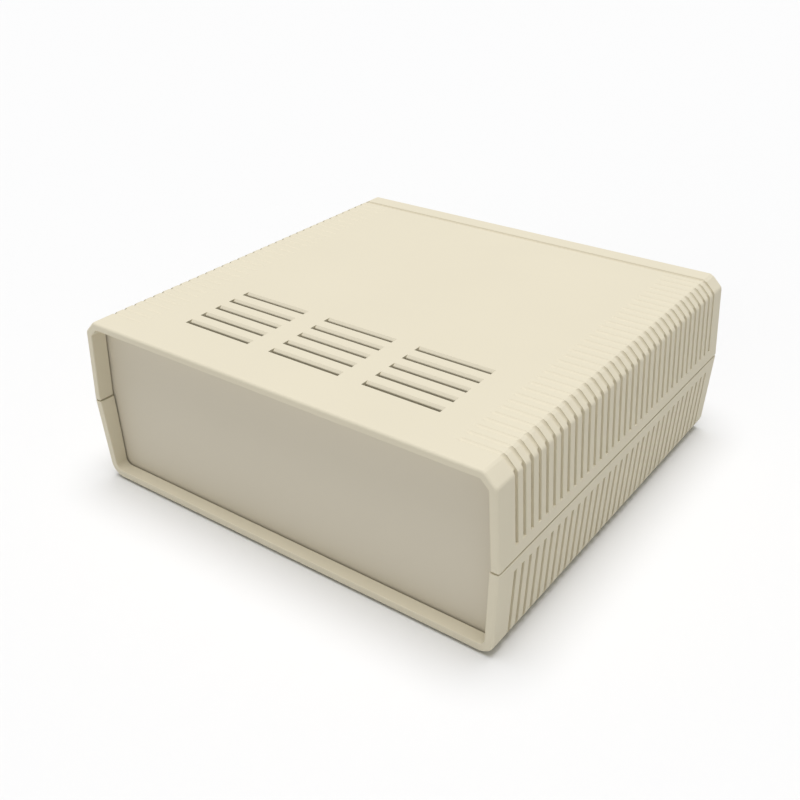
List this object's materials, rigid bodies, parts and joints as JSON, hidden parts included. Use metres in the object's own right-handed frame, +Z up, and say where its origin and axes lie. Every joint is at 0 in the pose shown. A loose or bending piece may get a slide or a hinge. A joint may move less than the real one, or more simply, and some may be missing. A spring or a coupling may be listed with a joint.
{
  "type": "instrument enclosure",
  "caption": "Two-part moulded instrument case with ribbed sides, vent slots in the top, end panels in slots, screws from beneath and low rubber feet.",
  "frame": {"origin": "on the table, under the middle of the case", "axes": "+X to the case's right seen from the front, +Y from the front panel to the rear panel, +Z up"},
  "size_m": [0.195, 0.186, 0.075],
  "materials": {
    "shell_abs": "fine spark-eroded mould texture, warm beige",
    "panel_abs": "fine matte texture, greyer beige",
    "screw_steel": "zinc plated",
    "foot_rubber": "matte black"
  },
  "bodies": {
    "root": {"lower_shell": "shell_abs", "upper_shell": "shell_abs", "front_panel": "panel_abs", "rear_panel": "panel_abs", "case_screws": "screw_steel", "foot_front_left": "foot_rubber", "foot_front_right": "foot_rubber", "foot_rear_left": "foot_rubber", "foot_rear_right": "foot_rubber"}
  },
  "joints": []
}
